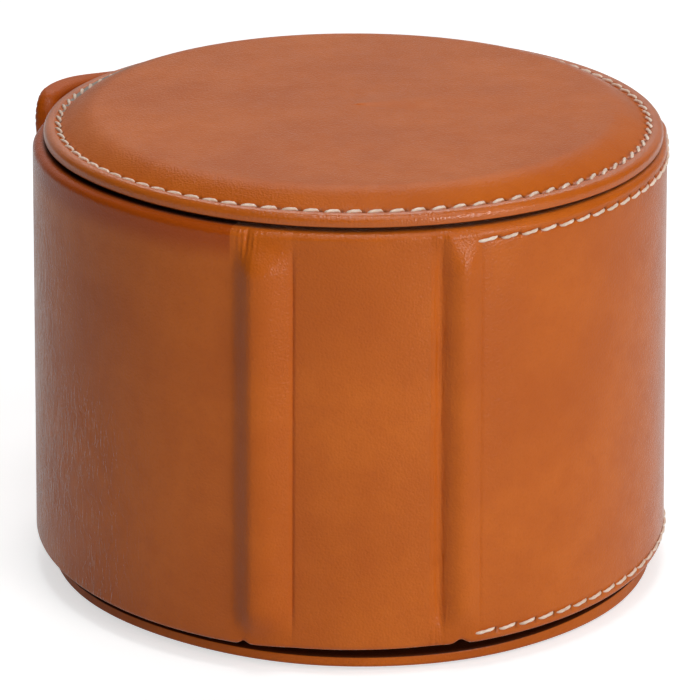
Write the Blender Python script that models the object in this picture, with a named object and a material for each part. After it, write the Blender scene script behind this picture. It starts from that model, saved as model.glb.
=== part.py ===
"""Single-watch roll: a leather drum that stands on one end cap, with a cushion for a watch inside.

Angles are in degrees seen from above, from the front (-Y) towards the right (+X).
The fixed half lies left of the front fold. The cover is right of it, and its tongue laps over the back.
"""

import math

import bmesh
import bpy
from mathutils import Matrix, Vector

MM = 0.001

# Fits
FIT = 0.3 * MM
CAP_GAP = 0.8 * MM

# End caps
CAP_RADIUS = 50.0 * MM
CAP_RIM = 2.4 * MM
CAP_LEATHER = 0.6 * MM
CAP_DOME = 1.8 * MM
CAP_FACE_INSET = 5.5 * MM
CAP_SEAM_INSET = 2.5 * MM
CAP_TURN_IN = 8.0 * MM
PLUG_BOARD = 2.5 * MM

# The base's padding is pressed flatter than the top's by the roll's weight
BASE_DOME = 0.9 * MM

# Wrap, from the outside in
WRAP_PROUD = 1.5 * MM
WRAP_HEIGHT = 68.3 * MM
WRAP_LEATHER = 1.1 * MM
WRAP_EDGE_ROUND = 1.0 * MM
WRAP_SEAM_INSET = 1.9 * MM
PADDING = 0.8 * MM
BOARD = 2.0 * MM
SUEDE = 0.6 * MM
SPINE_DROP = 0.8 * MM

# Where the parts of the wrap start and end
SHELL_START_ANGLE = 164.0
SHELL_END_ANGLE = 338.8
SPINE_START_ANGLE = 349.6
SPINE_END_ANGLE = 373.6
FLAP_START_ANGLE = 22.5
FLAP_END_ANGLE = 158.0

# Joint axes
FRONT_HINGE_ANGLE = -15.8
SIDE_HINGE_ANGLE = 18.0
TONGUE_HINGE_ANGLE = 161.0
HINGE_DEPTH = 0.9 * MM
TONGUE_HINGE_RISE = 0.5 * MM

# Ribs of folded leather over the two hinges. A crest is a share of the way round its rib.
FRONT_FOLD_HEIGHT = 2.2 * MM
SIDE_FOLD_HEIGHT = 1.1 * MM
FRONT_FOLD_CREST = 0.42
SIDE_FOLD_CREST = 0.45
FOLD_TAPER = 6.0 * MM

# Tongue
TONGUE_STEP_END_ANGLE = 166.0
TONGUE_END_ANGLE = 254.5
TONGUE_LEATHER = 0.9 * MM
TONGUE_STIFFENER = 0.7 * MM
TONGUE_LINING = 0.5 * MM
TONGUE_CORNER = 5.5 * MM
TONGUE_PROUD = 0.3 * MM
TONGUE_EDGE_ROUND = 0.7 * MM
TONGUE_SEAM_INSET = 3.0 * MM

# Closure
CLOSURE_ANGLE = 244.0
CLOSURE_WIDTH = 6.0 * MM
CLOSURE_LENGTH = 20.0 * MM

# Cushion
WATCH_ROOM = 21.0 * MM
SIDE_ROOM = 17.0 * MM
CUSHION_LEATHER = 1.2 * MM
CUSHION_CROWN = 2.4 * MM
CUSHION_BULGE = 0.8 * MM
CUSHION_END_ROUND = 6.0 * MM
CUSHION_SQUARENESS = 2.6

# Thread
THREAD = 0.5 * MM

FULL_TURN_ANGLE = 360.0

# Facets
TURN_STEPS = 60
ARC_STEP_ANGLE = 4.5
FINE_STEP_ANGLE = 1.0
CORNER_STEP_ANGLE = 15.0
FOLD_STEPS = 12
DOME_STEPS = 4
OVAL_POINTS = 32

# Heights, worked out from the sizes above
BOTTOM_FACE = BASE_DOME + CAP_RIM
WRAP_LOW = BOTTOM_FACE + CAP_GAP
WRAP_HIGH = WRAP_LOW + WRAP_HEIGHT
TOP_FACE = WRAP_HIGH + CAP_GAP
CAP_LINING = FIT + PLUG_BOARD + FIT + SUEDE
CORE_LOW = WRAP_LOW + WRAP_LEATHER + FIT
CORE_HIGH = WRAP_HIGH - WRAP_LEATHER - FIT
TONGUE_LOW = WRAP_LOW - TONGUE_PROUD
TONGUE_HIGH = WRAP_HIGH + TONGUE_PROUD
MIDDLE = (WRAP_LOW + WRAP_HIGH) / 2

# Radii, worked out from the sizes above
WRAP_RADIUS = CAP_RADIUS + WRAP_PROUD
LEATHER_INSIDE = WRAP_RADIUS - WRAP_LEATHER
PADDING_OUTSIDE = LEATHER_INSIDE - FIT
PADDING_INSIDE = PADDING_OUTSIDE - PADDING
BOARD_OUTSIDE = PADDING_INSIDE - FIT
BOARD_INSIDE = BOARD_OUTSIDE - BOARD
LINING_OUTSIDE = BOARD_INSIDE - FIT
LINING_INSIDE = LINING_OUTSIDE - SUEDE
PLUG_RADIUS = LINING_INSIDE - FIT
SPINE_RADIUS = WRAP_RADIUS - SPINE_DROP
SPINE_LEATHER_INSIDE = SPINE_RADIUS - WRAP_LEATHER
HINGE_RADIUS = WRAP_RADIUS - HINGE_DEPTH
TONGUE_INSIDE = WRAP_RADIUS + FIT
TONGUE_CORE_INSIDE = TONGUE_INSIDE + TONGUE_LINING + FIT
TONGUE_SKIN_INSIDE = TONGUE_CORE_INSIDE + TONGUE_STIFFENER + FIT
TONGUE_RADIUS = TONGUE_SKIN_INSIDE + TONGUE_LEATHER

# Linear colours
TAN = (0.440, 0.107, 0.019)
DARK_TAN = (0.290, 0.068, 0.013)
CREAM = (0.82, 0.76, 0.66)
BEIGE = (0.48, 0.33, 0.20)
GREY = (0.32, 0.29, 0.25)
FOAM_WHITE = (0.75, 0.73, 0.66)
STEEL = (0.55, 0.56, 0.58)


def material(name, colour, roughness, metallic=0.0):
    made = bpy.data.materials.new(name)
    made.use_nodes = True
    shader = made.node_tree.nodes["Principled BSDF"]
    shader.inputs["Base Color"].default_value = (*colour, 1.0)
    shader.inputs["Roughness"].default_value = roughness
    shader.inputs["Metallic"].default_value = metallic
    return made


def on_drum(angle, radius, height):
    """The point at this angle round the drum, distance from its axis and height."""
    turn = math.radians(angle)
    return Vector((radius * math.sin(turn), -radius * math.cos(turn), height))


def degrees_for(length, radius):
    return math.degrees(length / radius)


def spread(start, end, step=ARC_STEP_ANGLE):
    """Angles from start to end, evenly spaced and at most a step apart."""
    count = max(1, math.ceil(abs(end - start) / step))
    return [start + (end - start) * i / count for i in range(count + 1)]


def bend(radius, height, size, start, end, steps):
    """Points round a bend in an outline, whose angles run from straight outwards."""
    turns = [math.radians(angle) for angle in spread(start, end, abs(end - start) / steps)]
    return [(radius + size * math.cos(turn), height + size * math.sin(turn)) for turn in turns]


def smooth_step(share):
    share = min(1.0, max(0.0, share))
    return share * share * (3 - 2 * share)


def object_from(bm, name, look):
    bmesh.ops.recalc_face_normals(bm, faces=bm.faces)
    mesh = bpy.data.meshes.new(name)
    bm.to_mesh(mesh)
    bm.free()
    mesh.shade_smooth()
    mesh.set_sharp_from_angle(angle=math.radians(35))
    mesh.materials.append(look)
    obj = bpy.data.objects.new(name, mesh)
    bpy.context.collection.objects.link(obj)
    return obj


def lofted(name, sections, look, closed=False):
    """A skin through sections of equally many points, capped at both ends or closed on itself."""
    bm = bmesh.new()
    rows = [[bm.verts.new(point) for point in section] for section in sections]
    pairs = list(zip(rows, rows[1:]))
    if closed:
        pairs.append((rows[-1], rows[0]))
    else:
        bm.faces.new(rows[0])
        bm.faces.new(rows[-1])
    for row, following in pairs:
        for i, corner in enumerate(row):
            beside = (i + 1) % len(row)
            bm.faces.new((corner, row[beside], following[beside], following[i]))
    return object_from(bm, name, look)


def turned(name, outline, look):
    """A disc or dished cover, turned round the drum's axis from an outline that starts and ends on it."""
    bm = bmesh.new()
    verts = [bm.verts.new((radius, 0.0, height)) for radius, height in outline]
    edges = [bm.edges.new(ends) for ends in zip(verts, verts[1:])]
    bmesh.ops.spin(
        bm, geom=verts + edges, axis=(0, 0, 1), angle=2 * math.pi, steps=TURN_STEPS, use_merge=True
    )
    bmesh.ops.remove_doubles(bm, verts=bm.verts, dist=0.001 * MM)
    return object_from(bm, name, look)


def disc(name, radius, low, high, look):
    return turned(name, [(0.0, low), (radius, low), (radius, high), (0.0, high)], look)


def upright_section(angle, inner, outer, low, high, rounding):
    """The section of a curved panel at one angle, with its two outer edges rounded."""
    outline = [(inner, high), (inner, low)]
    if rounding:
        outline += bend(outer - rounding, low + rounding, rounding, -90, 0, 3)
        outline += bend(outer - rounding, high - rounding, rounding, 0, 90, 3)
    else:
        outline += [(outer, low), (outer, high)]
    return [on_drum(angle, radius, height) for radius, height in outline]


def panel(name, start, end, inner, outer, low, high, look, rounding=0.0):
    """A curved panel of the same section all along."""
    sections = [upright_section(a, inner, outer, low, high, rounding) for a in spread(start, end)]
    return lofted(name, sections, look)


def cut(obj, cutter):
    """Takes the cutter's shape out of the object, and keeps the cutter as a hidden helper."""
    cutter.hide_render = True
    cutter.display_type = "WIRE"
    modifier = obj.modifiers.new(cutter.name, "BOOLEAN")
    modifier.operation = "DIFFERENCE"
    modifier.solver = "EXACT"
    modifier.object = cutter


def thread(name, points, look, closed=False):
    """A run of stitching, as one thin cord along its line."""
    curve = bpy.data.curves.new(name, "CURVE")
    curve.dimensions = "3D"
    curve.bevel_depth = THREAD / 2
    curve.bevel_resolution = 0
    curve.use_fill_caps = True
    spline = curve.splines.new("POLY")
    spline.points.add(len(points) - 1)
    for spot, point in zip(spline.points, points):
        spot.co = (*point, 1.0)
    spline.use_cyclic_u = closed
    curve.materials.append(look)
    obj = bpy.data.objects.new(name, curve)
    bpy.context.collection.objects.link(obj)
    return obj


def bar(name, inner, thickness, width, length, look):
    """A flat upright bar at the closure, square to the drum's radius."""
    bm = bmesh.new()
    size = Matrix.Diagonal((width, thickness, length, 1.0))
    turn = Matrix.Rotation(math.radians(CLOSURE_ANGLE), 4, "Z")
    place = Matrix.Translation(on_drum(CLOSURE_ANGLE, inner + thickness / 2, MIDDLE))
    bmesh.ops.create_cube(bm, size=1.0, matrix=place @ turn @ size)
    return object_from(bm, name, look)


def window(layer, inner, outer, look):
    """Cuts room for the closure's bar through a layer of the wrap."""
    width = CLOSURE_WIDTH + 2 * FIT
    length = CLOSURE_LENGTH + 2 * FIT
    cutter = bar(layer.name + "_window", inner - FIT, outer - inner + 2 * FIT, width, length, look)
    cut(layer, cutter)
    return cutter


def pivot(name, angle, radius, parent=None):
    """An empty on a joint's axis, which carries what moves with that joint."""
    empty = bpy.data.objects.new(name, None)
    empty.empty_display_size = 5 * MM
    empty.location = on_drum(angle, radius, MIDDLE)
    bpy.context.collection.objects.link(empty)
    if parent:
        carry(parent, [empty])
    return empty


def carry(parent, children):
    """Parents the children where they stand."""
    bpy.context.view_layer.update()
    for child in children:
        child.parent = parent
        child.matrix_parent_inverse = parent.matrix_world.inverted()
    bpy.context.view_layer.update()


# End caps


def dome_outline(dome, depth=0.0):
    """The padded face from the drum's axis outwards, at a depth below the leather's outer side.

    As in all of a cap's outlines, heights run outwards from the cap's inner face.
    """
    dome_radius = CAP_RADIUS - 1.5 * CAP_SEAM_INSET
    outline = [(0.0, CAP_RIM + dome - depth)]
    for step in range(DOME_STEPS + 1):
        share = 1 - step / DOME_STEPS
        rise = dome * math.sin(math.pi / 2 * share)
        outline.append((dome_radius - CAP_FACE_INSET * share, CAP_RIM + rise - depth))
    return outline


def cap_cover_outline(dome):
    """Half the section of a cap's leather."""
    half = CAP_RIM / 2
    bend_radius = CAP_RADIUS - half
    turn_in_radius = CAP_RADIUS - CAP_TURN_IN
    rim = bend(bend_radius, half, half, 90, -90, 6)
    outside = dome_outline(dome) + rim + [(turn_in_radius, 0.0)]
    inside = [(turn_in_radius, CAP_LEATHER)] + bend(bend_radius, half, half - CAP_LEATHER, -90, 90, 2)
    return outside + inside + dome_outline(dome, CAP_LEATHER)[::-1]


def cap_padding_outline(dome):
    """Half the section of the foam between a cap's board and leather, thinned to nothing at its edge."""
    face = dome_outline(dome, CAP_LEATHER + FIT)
    full = face[:DOME_STEPS]
    edge_radius = face[DOME_STEPS][0]
    board = CAP_RIM - CAP_LEATHER
    return full + [(edge_radius, board), (0.0, board)]


def add_cap(side, face, outwards, dome, looks):
    """One end cap, built from the height of its inner face, with everything that is glued to it."""
    outline = [(radius, face + outwards * height) for radius, height in cap_cover_outline(dome)]
    turned(side + "_cap_cover", outline, looks["leather"])
    outline = [(radius, face + outwards * height) for radius, height in cap_padding_outline(dome)]
    turned(side + "_cap_padding", outline, looks["foam"])
    board_inner = face + outwards * (CAP_LEATHER + FIT)
    board_outer = face + outwards * (CAP_RIM - CAP_LEATHER - FIT)
    disc(side + "_cap_board", CAP_RADIUS - CAP_RIM / 2, board_inner, board_outer, looks["board"])
    plug_outer = face - outwards * FIT
    plug_inner = plug_outer - outwards * PLUG_BOARD
    disc(side + "_plug_board", PLUG_RADIUS, plug_inner, plug_outer, looks["board"])
    lining_inner = face - outwards * CAP_LINING
    disc(side + "_lining_disc", PLUG_RADIUS, lining_inner, lining_inner + outwards * SUEDE, looks["suede"])
    seam_height = face + outwards * (CAP_RIM + FIT + THREAD / 2)
    turns = [FULL_TURN_ANGLE * i / TURN_STEPS for i in range(TURN_STEPS)]
    ring = [on_drum(turn, CAP_RADIUS - CAP_SEAM_INSET, seam_height) for turn in turns]
    thread(side + "_cap_stitching", ring, looks["thread"], closed=True)


# Wrap


def wrap_leather(name, start, end, outer, look, pocket_start):
    """Outer leather with its top and bottom edges turned in over the board."""
    leather = panel(name, start, end, BOARD_INSIDE, outer, WRAP_LOW, WRAP_HIGH, look, WRAP_EDGE_ROUND)
    low = WRAP_LOW + WRAP_LEATHER
    high = WRAP_HIGH - WRAP_LEATHER
    past_end = end + degrees_for(FIT, outer)
    radii = (BOARD_INSIDE - FIT, outer - WRAP_LEATHER)
    cut(leather, panel(name + "_pocket", pocket_start, past_end, *radii, low, high, look))
    return leather


def wrap_lining(name, start, end, look):
    return panel(name, start, end, LINING_INSIDE, LINING_OUTSIDE, WRAP_LOW + FIT, WRAP_HIGH - FIT, look)


def add_shell(looks):
    """The fixed half, glued round both plugs."""
    arc = (SHELL_START_ANGLE, SHELL_END_ANGLE)
    turned_end = SHELL_START_ANGLE + degrees_for(WRAP_LEATHER, WRAP_RADIUS)
    core_arc = (turned_end + degrees_for(FIT, BOARD_INSIDE), SHELL_END_ANGLE)
    wrap_leather("shell_leather", *arc, WRAP_RADIUS, looks["leather"], turned_end)
    layer = (CORE_LOW, CORE_HIGH)
    padding = panel("shell_padding", *core_arc, PADDING_INSIDE, PADDING_OUTSIDE, *layer, looks["foam"])
    window(padding, PADDING_INSIDE, PADDING_OUTSIDE, looks["foam"])
    bar("shell_keeper", PADDING_INSIDE, PADDING, CLOSURE_WIDTH, CLOSURE_LENGTH, looks["steel"])
    panel("shell_board", *core_arc, BOARD_INSIDE, BOARD_OUTSIDE, *layer, looks["board"])
    wrap_lining("shell_lining", *arc, looks["suede"])


def add_spine(looks):
    """The narrow sunken panel between the two folds. Gives back its objects."""
    arc = (SPINE_START_ANGLE, SPINE_END_ANGLE)
    pocket_start = SPINE_START_ANGLE - degrees_for(FIT, SPINE_RADIUS)
    board_outside = SPINE_LEATHER_INSIDE - FIT
    return [
        wrap_leather("spine_leather", *arc, SPINE_RADIUS, looks["leather"], pocket_start),
        panel("spine_board", *arc, BOARD_INSIDE, board_outside, CORE_LOW, CORE_HIGH, looks["board"]),
        wrap_lining("spine_lining", *arc, looks["suede"]),
    ]


def fold_section(start, end, outer_start, outer_end, crest, height, swell):
    """The level section of a rib: a flat back, and a swelling that is steeper towards the spine."""
    outline = []
    for step in range(FOLD_STEPS + 1):
        share = step / FOLD_STEPS
        side = share / crest if share < crest else (1 - share) / (1 - crest)
        radius = outer_start + (outer_end - outer_start) * share + swell * math.sin(math.pi / 2 * side)
        outline.append(on_drum(start + (end - start) * share, radius, height))
    back = [on_drum(angle, SPINE_LEATHER_INSIDE, height) for angle in spread(end, start)]
    return outline + back


def add_fold(name, before, after, outer_before, outer_after, swell, crest, looks):
    """A rib of leather between two panels, and the lining behind it. Gives back both."""
    leather_gap = degrees_for(FIT, SPINE_LEATHER_INSIDE)
    start = before + leather_gap
    end = after - leather_gap
    heights = (0.0, 0.4 * FOLD_TAPER, FOLD_TAPER)
    swells = (0.1 * swell, 0.65 * swell, swell)
    rising = [(WRAP_LOW + height, part) for height, part in zip(heights, swells)]
    falling = [(WRAP_HIGH - height, part) for height, part in zip(heights, swells)]
    levels = rising + falling[::-1]
    sections = [
        fold_section(start, end, outer_before, outer_after, crest, height, part) for height, part in levels
    ]
    leather = lofted(name, sections, looks["fold"])
    lining_gap = degrees_for(FIT, LINING_INSIDE)
    return [leather, wrap_lining(name + "_lining", before + lining_gap, after - lining_gap, looks["suede"])]


def add_flap(looks):
    """The cover's curved panel, with its two runs of stitching. Gives back its objects."""
    arc = (FLAP_START_ANGLE, FLAP_END_ANGLE)
    layer = (CORE_LOW, CORE_HIGH)
    pocket_start = FLAP_START_ANGLE - degrees_for(FIT, WRAP_RADIUS)
    made = [
        wrap_leather("flap_leather", *arc, WRAP_RADIUS, looks["leather"], pocket_start),
        panel("flap_padding", *arc, PADDING_INSIDE, PADDING_OUTSIDE, *layer, looks["foam"]),
        panel("flap_board", *arc, BOARD_INSIDE, BOARD_OUTSIDE, *layer, looks["board"]),
        wrap_lining("flap_lining", *arc, looks["suede"]),
    ]
    margin = degrees_for(2 * THREAD, WRAP_RADIUS)
    turns = spread(FLAP_START_ANGLE + margin, FLAP_END_ANGLE - margin)
    seam_radius = WRAP_RADIUS + FIT + THREAD / 2
    for side, height in (("top", WRAP_HIGH - WRAP_SEAM_INSET), ("bottom", WRAP_LOW + WRAP_SEAM_INSET)):
        run = [on_drum(turn, seam_radius, height) for turn in turns]
        made.append(thread(f"flap_{side}_stitching", run, looks["thread"]))
    return made


# Tongue


def tongue_edge(inset):
    """Angles along the tongue, each with how far its rounded end trims the height there."""
    corner = TONGUE_CORNER - inset
    end = TONGUE_END_ANGLE - degrees_for(inset, TONGUE_RADIUS)
    stations = []
    for turn in spread(0, 90, CORNER_STEP_ANGLE):
        left = corner * (1 - math.sin(math.radians(turn)))
        trim = inset + corner * (1 - math.cos(math.radians(turn)))
        stations.append((end - degrees_for(left, TONGUE_RADIUS), trim))
    return stations


def tongue_layer(name, start, inset, inner, outer, look):
    """A layer inside the tongue's turned edge, with the same rounded end."""
    corner = tongue_edge(inset)
    straight = [(angle, inset) for angle in spread(start, corner[0][0])[:-1]]
    sections = [
        upright_section(angle, inner, outer, TONGUE_LOW + trim, TONGUE_HIGH - trim, 0.0)
        for angle, trim in straight + corner
    ]
    return lofted(name, sections, look)


def tongue_leather(look):
    """The tongue's skin: it steps out from the cover's end over the fixed half, with its edge turned in."""
    root = FLAP_END_ANGLE + degrees_for(2 * FIT, WRAP_RADIUS)
    sections = []
    for angle in spread(root, TONGUE_STEP_END_ANGLE, FINE_STEP_ANGLE):
        rise = smooth_step((angle - root) / (TONGUE_STEP_END_ANGLE - root))
        outer = WRAP_RADIUS + (TONGUE_RADIUS - WRAP_RADIUS) * rise
        edges = (TONGUE_LOW, TONGUE_HIGH, TONGUE_EDGE_ROUND)
        sections.append(upright_section(angle, outer - TONGUE_LEATHER, outer, *edges))
    corner = tongue_edge(0.0)
    lip = TONGUE_STEP_END_ANGLE + degrees_for(FIT, TONGUE_RADIUS)
    for angle, trim in [(angle, 0.0) for angle in spread(lip, corner[0][0])[:-1]] + corner:
        edges = (TONGUE_LOW + trim, TONGUE_HIGH - trim, TONGUE_EDGE_ROUND)
        sections.append(upright_section(angle, TONGUE_INSIDE, TONGUE_RADIUS, *edges))
    return lofted("tongue_leather", sections, look)


def add_tongue(looks):
    """The cover's free end, with its lining, stiffener and magnet. Gives back its objects."""
    skin = tongue_leather(looks["leather"])
    pocket_start = TONGUE_STEP_END_ANGLE + degrees_for(2 * TONGUE_LEATHER, TONGUE_RADIUS)
    layers_start = pocket_start + degrees_for(FIT, TONGUE_INSIDE)
    pocket_inner = TONGUE_INSIDE - FIT
    cut(skin, tongue_layer(
        "tongue_pocket", pocket_start, TONGUE_LEATHER, pocket_inner, TONGUE_SKIN_INSIDE, looks["leather"]
    ))
    inset = TONGUE_LEATHER + FIT
    lining_radii = (TONGUE_INSIDE, TONGUE_INSIDE + TONGUE_LINING)
    core_outside = TONGUE_CORE_INSIDE + TONGUE_STIFFENER
    lining = tongue_layer("tongue_lining", layers_start, inset, *lining_radii, looks["suede"])
    stiffener = tongue_layer(
        "tongue_stiffener", layers_start, inset, TONGUE_CORE_INSIDE, core_outside, looks["board"]
    )
    cutter = window(stiffener, TONGUE_CORE_INSIDE, core_outside, looks["board"])
    magnet = bar(
        "tongue_magnet", TONGUE_CORE_INSIDE, TONGUE_STIFFENER, CLOSURE_WIDTH, CLOSURE_LENGTH, looks["steel"]
    )
    seam_radius = TONGUE_RADIUS + FIT + THREAD / 2
    corner = tongue_edge(TONGUE_SEAM_INSET)
    run = [(angle, TONGUE_SEAM_INSET) for angle in spread(TONGUE_STEP_END_ANGLE, corner[0][0])[:-1]] + corner
    over = [on_drum(angle, seam_radius, TONGUE_HIGH - trim) for angle, trim in run]
    under = [on_drum(angle, seam_radius, TONGUE_LOW + trim) for angle, trim in run]
    stitching = thread("tongue_stitching", over + under[::-1], looks["thread"])
    return [skin, skin.modifiers[0].object, lining, stiffener, cutter, magnet, stitching]


# Cushion


def oval(half_x, half_y, height):
    """A level oval, a little squarer than an ellipse."""
    points = []
    power = 2 / CUSHION_SQUARENESS
    for i in range(OVAL_POINTS):
        turn = 2 * math.pi * i / OVAL_POINTS
        across = math.copysign(abs(math.cos(turn)) ** power, math.cos(turn))
        along = math.copysign(abs(math.sin(turn)) ** power, math.sin(turn))
        points.append(Vector((half_x * across, half_y * along, height)))
    return points


def cushion_rings(low, high, inset):
    """Ovals up the cushion, which is fullest halfway up and drawn in round both ends."""
    half_x = LINING_INSIDE - WATCH_ROOM - inset
    half_y = LINING_INSIDE - SIDE_ROOM - inset
    middle = (low + high) / 2
    turns = [math.radians(turn) for turn in (90, 65, 40, 15)]
    offsets = [CUSHION_END_ROUND * (1 - math.sin(turn)) for turn in turns] + [(middle - low) * 0.6]
    draws = [CUSHION_CROWN * (1 - math.cos(turn)) for turn in turns] + [0.0]
    heights = [low + offset for offset in offsets]
    levels = list(zip(heights, draws)) + [(middle, 0.0)]
    levels += [(2 * middle - height, draw) for height, draw in reversed(levels[:-1])]
    rings = []
    for height, draw in levels:
        away = (height - middle) / (high - middle)
        drawn = draw + CUSHION_BULGE * away * away
        rings.append(oval(half_x - drawn, half_y - drawn, height))
    return rings


def add_cushion(looks):
    """The cushion that a watch is strapped round, with its core and ends. Gives back its objects."""
    low = BOTTOM_FACE + CAP_LINING + FIT
    high = TOP_FACE - CAP_LINING - FIT
    outside = cushion_rings(low, high, 0.0)
    inside = cushion_rings(low, high, CUSHION_LEATHER)
    sleeve = lofted("cushion_sleeve", outside + inside[::-1], looks["suede"], closed=True)
    inset = CUSHION_LEATHER + FIT
    core_low = low + CUSHION_LEATHER + FIT
    core_high = high - CUSHION_LEATHER - FIT
    core = lofted("cushion_core", cushion_rings(core_low, core_high, inset + FIT), looks["foam"])
    drawn = CUSHION_CROWN + CUSHION_BULGE + inset
    half_x = LINING_INSIDE - WATCH_ROOM - drawn
    half_y = LINING_INSIDE - SIDE_ROOM - drawn
    made = [sleeve, core]
    for side, start, end in (
        ("bottom", low, low + CUSHION_LEATHER),
        ("top", high - CUSHION_LEATHER, high),
    ):
        rings = [oval(half_x, half_y, start), oval(half_x, half_y, end)]
        made.append(lofted(f"cushion_{side}_end", rings, looks["leather"]))
    return made


def main():
    for obj in list(bpy.data.objects):
        bpy.data.objects.remove(obj, do_unlink=True)
    looks = {
        "leather": material("leather", TAN, 0.42),
        "fold": material("folded_leather", DARK_TAN, 0.42),
        "thread": material("thread", CREAM, 0.7),
        "suede": material("suede", BEIGE, 0.9),
        "board": material("greyboard", GREY, 0.85),
        "foam": material("foam", FOAM_WHITE, 0.95),
        "steel": material("steel", STEEL, 0.3, 1.0),
    }
    add_cap("bottom", BOTTOM_FACE, -1, BASE_DOME, looks)
    add_cap("top", TOP_FACE, 1, CAP_DOME, looks)
    add_shell(looks)
    ends = (SHELL_END_ANGLE, SPINE_START_ANGLE, WRAP_RADIUS, SPINE_RADIUS)
    add_fold("front_fold", *ends, FRONT_FOLD_HEIGHT, FRONT_FOLD_CREST, looks)

    front = pivot("front_hinge", FRONT_HINGE_ANGLE, HINGE_RADIUS)
    side = pivot("side_hinge", SIDE_HINGE_ANGLE, HINGE_RADIUS, front)
    back = pivot("tongue_hinge", TONGUE_HINGE_ANGLE, WRAP_RADIUS + TONGUE_HINGE_RISE, side)
    slide = pivot("cushion_slide", 0.0, 0.0)
    ends = (SPINE_END_ANGLE, FLAP_START_ANGLE + FULL_TURN_ANGLE, SPINE_RADIUS, WRAP_RADIUS)
    side_fold = add_fold("side_fold", *ends, SIDE_FOLD_HEIGHT, SIDE_FOLD_CREST, looks)
    carry(front, add_spine(looks) + side_fold)
    carry(side, add_flap(looks))
    carry(back, add_tongue(looks))
    carry(slide, add_cushion(looks))


main()
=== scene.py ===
import math

import bmesh
import bpy
import numpy as np
from mathutils import Matrix


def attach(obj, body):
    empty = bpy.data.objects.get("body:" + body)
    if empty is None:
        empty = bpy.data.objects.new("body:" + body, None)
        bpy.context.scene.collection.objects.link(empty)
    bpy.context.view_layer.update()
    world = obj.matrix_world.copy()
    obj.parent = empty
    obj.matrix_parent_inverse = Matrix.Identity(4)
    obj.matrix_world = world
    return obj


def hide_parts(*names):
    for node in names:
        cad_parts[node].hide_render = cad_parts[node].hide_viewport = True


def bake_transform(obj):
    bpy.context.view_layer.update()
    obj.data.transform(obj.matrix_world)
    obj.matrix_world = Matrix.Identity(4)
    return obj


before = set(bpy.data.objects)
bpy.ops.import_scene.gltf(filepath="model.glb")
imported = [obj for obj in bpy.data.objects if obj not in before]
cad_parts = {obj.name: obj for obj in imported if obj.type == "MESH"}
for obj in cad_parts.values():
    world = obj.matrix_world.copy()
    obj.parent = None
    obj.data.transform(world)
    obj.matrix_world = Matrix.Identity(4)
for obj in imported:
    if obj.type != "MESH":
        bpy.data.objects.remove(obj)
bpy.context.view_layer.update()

# Sizes in millimetres and angles in degrees from the front (-Y) towards the right (+X), as in the part.
MM = 0.001
LOW = 4.1
HIGH = 72.4
MIDDLE = (LOW + HIGH) / 2
CAP_FACES = {"bottom": (3.3, -1), "top": (73.2, 1)}
FRONT_START = -21.2
FRONT_END = -10.4
SIDE_START = 13.6
SIDE_END = 22.5
SHELL_START = -196.0
FLAP_END = 158.0
TONGUE_START = 166.0
TONGUE_END = 254.5
WRAP = 51.5
SPINE = 50.7
TONGUE_IN = 51.8
TONGUE_OUT = 54.5
TONGUE_LOW = LOW - 0.3
TONGUE_HIGH = HIGH + 0.3
TONGUE_CORNER = 5.5
LINING_IN = 46.1
LINING_OUT = 46.75
FOAM_IN = 49.2
CAP_RADIUS = 50.0

# Stitching
SEAM_INSET = 1.9
TONGUE_SEAM_INSET = 3.0
THREAD_RADIUS = 0.26
STITCH_PITCH = 3.65
SEAM_COUNT = 33
SEAM_FIRST = math.radians(21.8) * WRAP
SEAM_LAST = SEAM_FIRST + SEAM_COUNT * STITCH_PITCH
CAP_SEAM = 47.5
CAP_STITCHES = 92
CAP_PHASE = 0.12


# Small helpers


def ease(x):
    x = np.clip(x, 0.0, 1.0)
    return x * x * (3 - 2 * x)


def bell(x, centre, width):
    return np.exp(-(((x - centre) / width) ** 2))


def around(angle, radius, height):
    turn = np.radians(angle)
    angle, radius, height = np.broadcast_arrays(turn, radius, height)
    return np.stack([radius * np.sin(angle), -radius * np.cos(angle), height], axis=-1)


def lines(start, end, step):
    return np.linspace(start, end, max(2, int(round(abs(end - start) / step)) + 1))


def chain(*runs):
    """Joins runs of values end to end and drops a value that repeats the one before it."""
    values = []
    for run in runs:
        for value in run:
            if not values or abs(value - values[-1]) > 1e-6:
                values.append(float(value))
    return np.array(values)


def build(name, points, faces, look, uv=None, dark=None, sharp=50):
    """A smooth mesh from points in millimetres, with its own UV map and how far painted shade darkens each
    point.
    """
    data = bpy.data.meshes.new(name)
    data.from_pydata((np.asarray(points) * MM).tolist(), [], [list(map(int, face)) for face in faces])
    data.validate()
    corners = np.empty(len(data.loops), np.int32)
    data.loops.foreach_get("vertex_index", corners)
    if uv is not None:
        layer = data.uv_layers.new(name="UVMap")
        layer.data.foreach_set("uv", np.asarray(uv, np.float32)[corners].ravel())
    if dark is not None:
        shade = data.attributes.new("dark", "FLOAT", "POINT")
        shade.data.foreach_set("value", np.asarray(dark, np.float32))
    data.polygons.foreach_set("use_smooth", [True] * len(data.polygons))
    data.set_sharp_from_angle(angle=math.radians(sharp))
    data.materials.append(look)
    obj = bpy.data.objects.new(name, data)
    bpy.context.collection.objects.link(obj)
    return obj


def grid_faces(rows, columns, closed_columns=False, closed_rows=False, first=0):
    faces = []
    for i in range(rows if closed_rows else rows - 1):
        for j in range(columns if closed_columns else columns - 1):
            a = first + i * columns + j
            b = first + i * columns + (j + 1) % columns
            c = first + ((i + 1) % rows) * columns + (j + 1) % columns
            d = first + ((i + 1) % rows) * columns + j
            faces.append((a, d, c, b))
    return faces


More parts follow.
